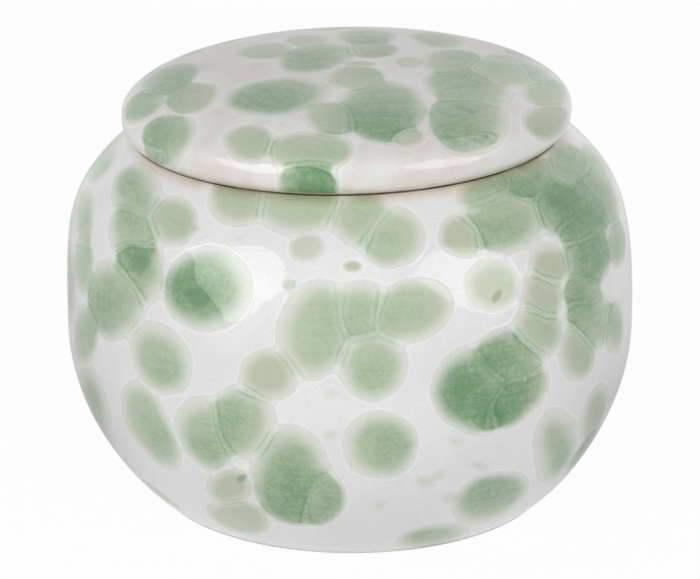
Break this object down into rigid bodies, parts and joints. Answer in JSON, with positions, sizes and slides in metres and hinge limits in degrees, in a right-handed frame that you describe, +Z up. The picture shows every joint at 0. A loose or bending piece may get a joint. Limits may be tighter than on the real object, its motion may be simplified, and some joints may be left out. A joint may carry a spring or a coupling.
{
  "type": "lidded porcelain jar",
  "caption": "Squat round porcelain jar in glossy white glaze with soft green spots, with a low domed lid that rests on a flat seat and lifts off.",
  "frame": {"origin": "centre of the foot ring, at the level that the jar stands on", "axes": "+Z up through the middle of the lid; the side that the picture shows faces -Y"},
  "size_m": [0.132, 0.132, 0.1029],
  "materials": {
    "spotted_glaze": "glossy"
  },
  "bodies": {
    "jar": {"jar_body": "spotted_glaze"},
    "lid": {"lid": "spotted_glaze"}
  },
  "joints": [
    {"name": "lid_lift", "type": "slide", "parent": "jar", "child": "lid", "axis": [0, 0, 1], "range_m": [0, 0.08]}
  ]
}
